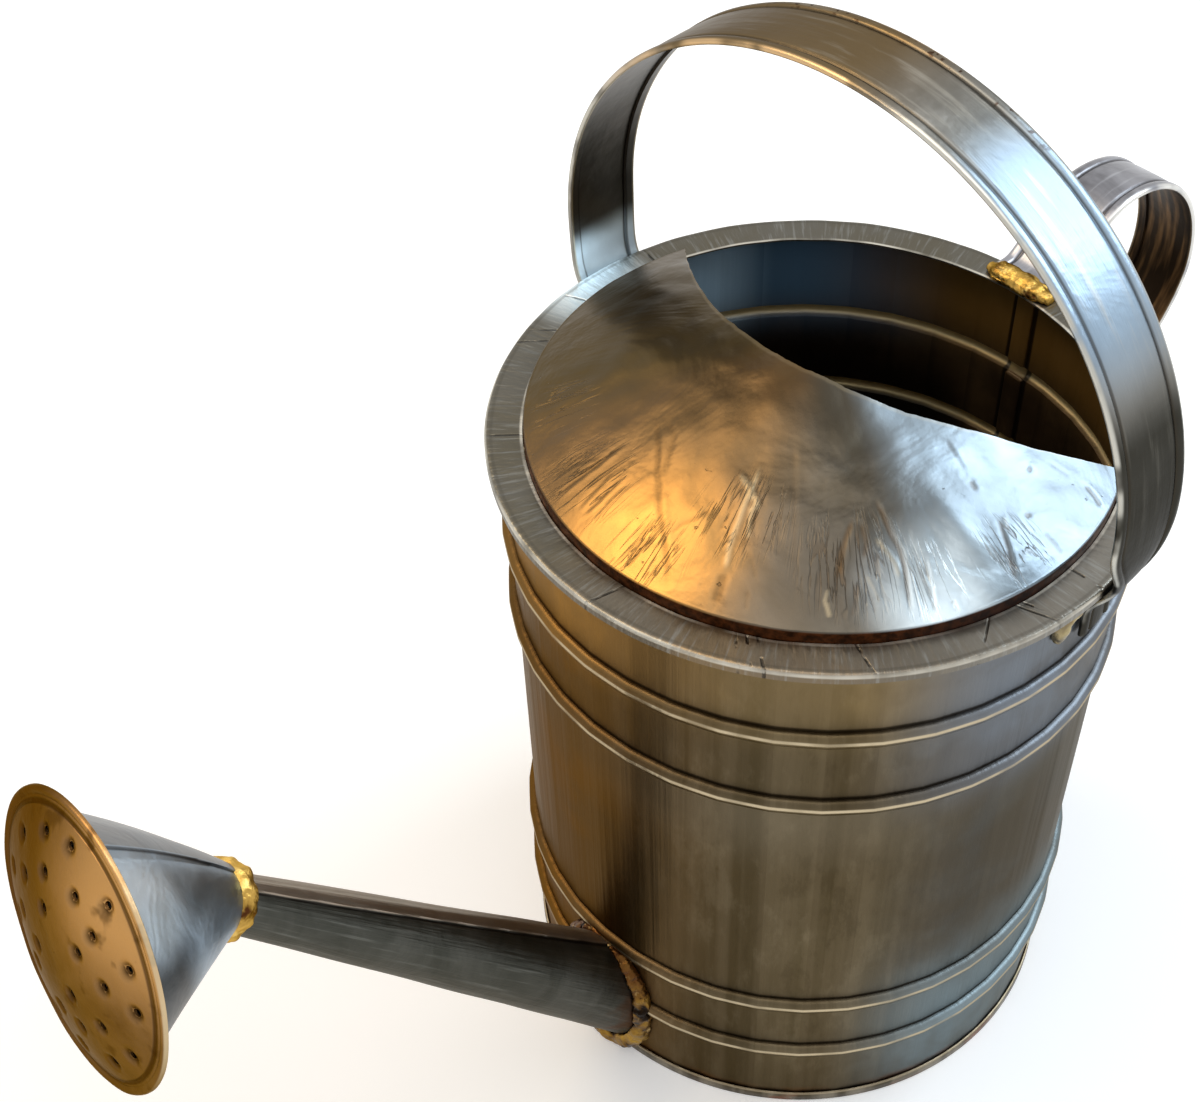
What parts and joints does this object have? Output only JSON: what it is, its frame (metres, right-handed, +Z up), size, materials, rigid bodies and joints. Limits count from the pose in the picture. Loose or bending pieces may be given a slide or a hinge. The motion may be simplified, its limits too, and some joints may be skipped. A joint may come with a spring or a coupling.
{
  "type": "watering can",
  "caption": "Tarnished sheet-metal watering can with a half hood, tall hoop handle, rear strap handle, long tapered spout and perforated brass rose.",
  "frame": {"origin": "on the can's axis, level with the rim that it stands on", "axes": "+X towards the spout and the rose, +Y across the can along the hoop handle, +Z up"},
  "size_m": [0.5188, 0.2466, 0.4136],
  "materials": {
    "tarnished_sheet": "tarnished galvanised sheet, soft vertical streaks",
    "burnished_sheet": "worn bright, hammered and scratched",
    "dark_sheet": "dark blue-grey, dull",
    "aged_brass": "brown aged brass",
    "braze": "lumpy brass braze",
    "solder": "dull lead-grey solder"
  },
  "bodies": {
    "root": {"body_shell": "tarnished_sheet", "bottom_plate": "tarnished_sheet", "top_collar": "tarnished_sheet", "hood": "burnished_sheet", "hoop_handle": "burnished_sheet", "rear_handle": "dark_sheet", "spout_tube": "dark_sheet", "rose_cone": "dark_sheet", "rose_face": "aged_brass", "spout_root_braze": "braze", "rose_neck_braze": "braze", "hoop_solder_left": "solder", "hoop_solder_right": "solder", "rear_handle_top_braze": "braze", "rear_handle_foot_braze": "braze"}
  },
  "joints": []
}
